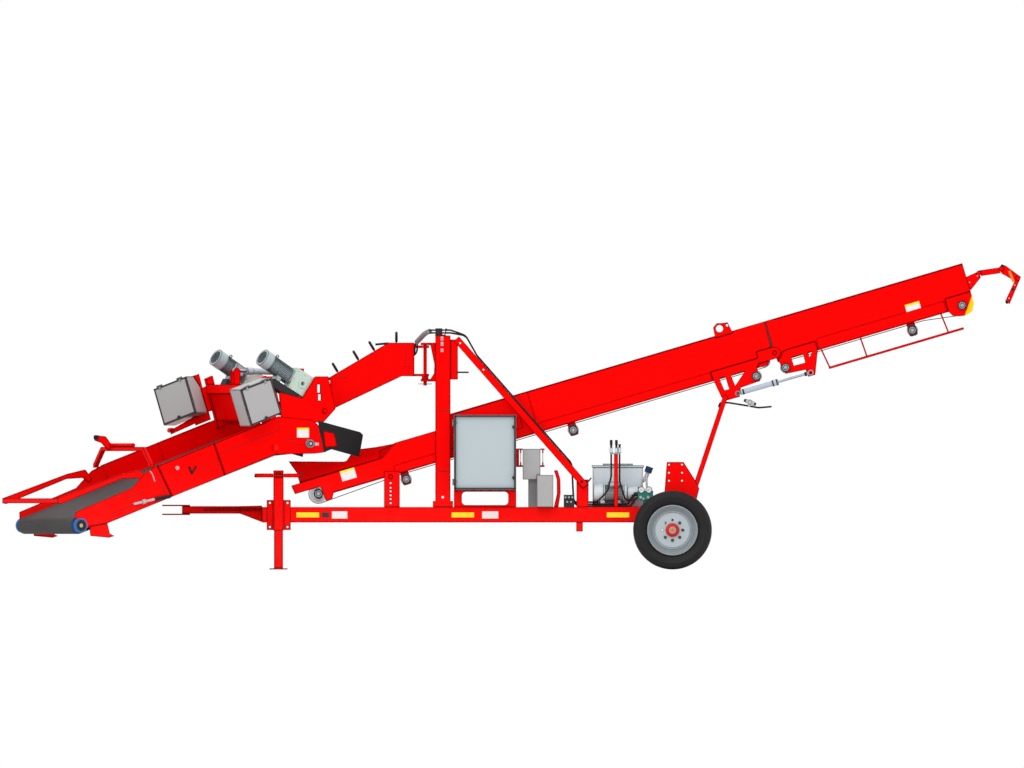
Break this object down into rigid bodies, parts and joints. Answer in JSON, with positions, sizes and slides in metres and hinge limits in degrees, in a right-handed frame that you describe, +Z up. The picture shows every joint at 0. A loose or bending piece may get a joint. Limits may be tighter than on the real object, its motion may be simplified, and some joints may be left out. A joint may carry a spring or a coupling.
{
  "type": "towed potato transfer conveyor",
  "caption": "Towed potato store-unloading conveyor: a belt that climbs over a ladder frame on road wheels to a folding discharge head, fed by a swinging, tilting intake boom on a portal mast.",
  "frame": {"origin": "on the ground under the middle of the axle, on the machine's centre line", "axes": "+X towards the raised discharge end, -Y towards the side with the main cabinet, +Z up"},
  "size_m": [10.1876, 3.2242, 3.0638],
  "materials": {
    "red paint": "gloss",
    "dark red paint": "gloss",
    "tyre rubber": "matte",
    "rim paint": "satin",
    "belt rubber": "matte",
    "roller steel": "satin",
    "bearing iron": "satin",
    "bed steel": "satin",
    "cabinet paint": "satin",
    "box paint": "satin",
    "motor alloy": "satin",
    "chrome rod": "polished",
    "barrel paint": "satin",
    "tank paint": "satin",
    "hose rubber": "satin",
    "skirt rubber": "matte",
    "arm steel": "satin"
  },
  "bodies": {
    "chassis": {"chassis_rails": "red paint", "cross_members": "red paint", "drawbar": "red paint", "axle": "red paint", "axle_towers": "red paint", "support_legs": "red paint", "front_posts": "red paint", "mast": "red paint", "mast_braces": "red paint", "conveyor_side_near": "red paint", "conveyor_side_far": "red paint", "hopper_wall": "red paint", "conveyor_bed": "bed steel", "conveyor_belt": "belt rubber", "conveyor_rollers": "roller steel", "conveyor_bearings": "bearing iron", "cabinet": "cabinet paint", "cabinet_stand": "red paint", "junction_boxes": "box paint", "power_tank": "tank paint", "power_motor": "motor alloy", "jack_tube": "red paint", "hoses": "hose rubber"},
    "wheel_near": {"tyre_near": "tyre rubber", "rim_near": "rim paint", "hub_near": "red paint"},
    "wheel_far": {"tyre_far": "tyre rubber", "rim_far": "rim paint", "hub_far": "red paint"},
    "head": {"head_side_near": "red paint", "head_side_far": "red paint", "head_bed": "bed steel", "head_belt": "belt rubber", "head_rollers": "roller steel", "head_bearings": "bearing iron", "head_guard": "red paint", "sensor_arm": "arm steel"},
    "fold_barrels": {"fold_barrels": "barrel paint"},
    "fold_rods": {"fold_rods": "chrome rod"},
    "arm": {"arm": "red paint", "arm_rings": "hose rubber"},
    "yoke": {"yoke": "red paint"},
    "tilt_barrel": {"tilt_barrel": "barrel paint"},
    "tilt_rod": {"tilt_rod": "chrome rod"},
    "boom": {"boom_side_near": "red paint", "boom_side_far": "red paint", "boom_towers": "red paint", "boom_belt": "belt rubber", "boom_rollers": "roller steel", "boom_bed": "bed steel", "boom_gate": "red paint", "motor_frame": "dark red paint", "gear_motors": "motor alloy", "control_boxes": "box paint", "boom_guard": "red paint", "chute_skirts": "skirt rubber"},
    "near_box_door": {"near_box_door": "box paint"},
    "far_box_door": {"far_box_door": "box paint"},
    "cabinet_door": {"cabinet_door": "cabinet paint"},
    "jack_leg": {"jack_leg": "red paint"}
  },
  "joints": [
    {"name": "wheel_near_spin", "type": "hinge", "parent": "chassis", "child": "wheel_near", "pos_m": [0, -0.87, 0.394], "axis": [0, 1, 0], "continuous": true},
    {"name": "wheel_far_spin", "type": "hinge", "parent": "chassis", "child": "wheel_far", "pos_m": [0, 0.87, 0.394], "axis": [0, 1, 0], "continuous": true},
    {"name": "head_fold", "type": "hinge", "parent": "chassis", "child": "head", "pos_m": [1.02137, 0, 2.16754], "axis": [0, -1, 0], "range_deg": [-40, 0]},
    {"name": "fold_barrel_swing", "type": "hinge", "parent": "chassis", "child": "fold_barrels", "pos_m": [0.65288, 0, 1.762], "axis": [0, -1, 0], "range_deg": [-15, 0.5]},
    {"name": "fold_rod_slide", "type": "slide", "parent": "fold_barrels", "child": "fold_rods", "axis": [0.9622, 0, 0.2722], "range_m": [-0.255, 0.005]},
    {"name": "arm_swing", "type": "hinge", "parent": "chassis", "child": "arm", "pos_m": [-2.474, 0, 2.1], "axis": [0, 0, 1], "range_deg": [-8, 8]},
    {"name": "boom_swivel", "type": "hinge", "parent": "arm", "child": "yoke", "pos_m": [-3.591, 0, 1.75], "axis": [0, 0, 1], "range_deg": [-77, 13]},
    {"name": "boom_tilt", "type": "hinge", "parent": "yoke", "child": "boom", "pos_m": [-3.75891, -0.10492, 1.585], "axis": [-0.5299, 0.848, 0], "range_deg": [-6.3, 3]},
    {"name": "tilt_barrel_swing", "type": "hinge", "parent": "yoke", "child": "tilt_barrel", "pos_m": [-3.75213, -0.10068, 1.97], "axis": [-0.5299, 0.848, 0], "range_deg": [-7, 4]},
    {"name": "tilt_rod_slide", "type": "slide", "parent": "tilt_barrel", "child": "tilt_rod", "axis": [-0.8478, -0.5298, 0.0248], "range_m": [-0.03, 0.05]},
    {"name": "near_box_door_lift", "type": "hinge", "parent": "boom", "child": "near_box_door", "pos_m": [-4.0147, -1.15009, 1.92456], "axis": [-0.8067, -0.5041, -0.3083], "range_deg": [0, 100]},
    {"name": "far_box_door_lift", "type": "hinge", "parent": "boom", "child": "far_box_door", "pos_m": [-5.19539, -0.028, 1.81253], "axis": [-0.8038, 0.5022, -0.319], "range_deg": [0, 100]},
    {"name": "cabinet_door_swing", "type": "hinge", "parent": "chassis", "child": "cabinet_door", "pos_m": [-2.195, -0.8378, 1.171], "axis": [0, 0, -1], "range_deg": [0, 110]},
    {"name": "jack_slide", "type": "slide", "parent": "chassis", "child": "jack_leg", "axis": [0, 0, 1], "range_m": [0, 0.29]}
  ],
  "couplings": [
    {"joint": "fold_barrel_swing", "follows": "head_fold", "ratio": 0.348},
    {"joint": "fold_rod_slide", "follows": "head_fold", "m_per_rad": 0.336},
    {"joint": "tilt_barrel_swing", "follows": "boom_tilt", "ratio": 0.988},
    {"joint": "tilt_rod_slide", "follows": "boom_tilt", "m_per_rad": -0.384}
  ]
}
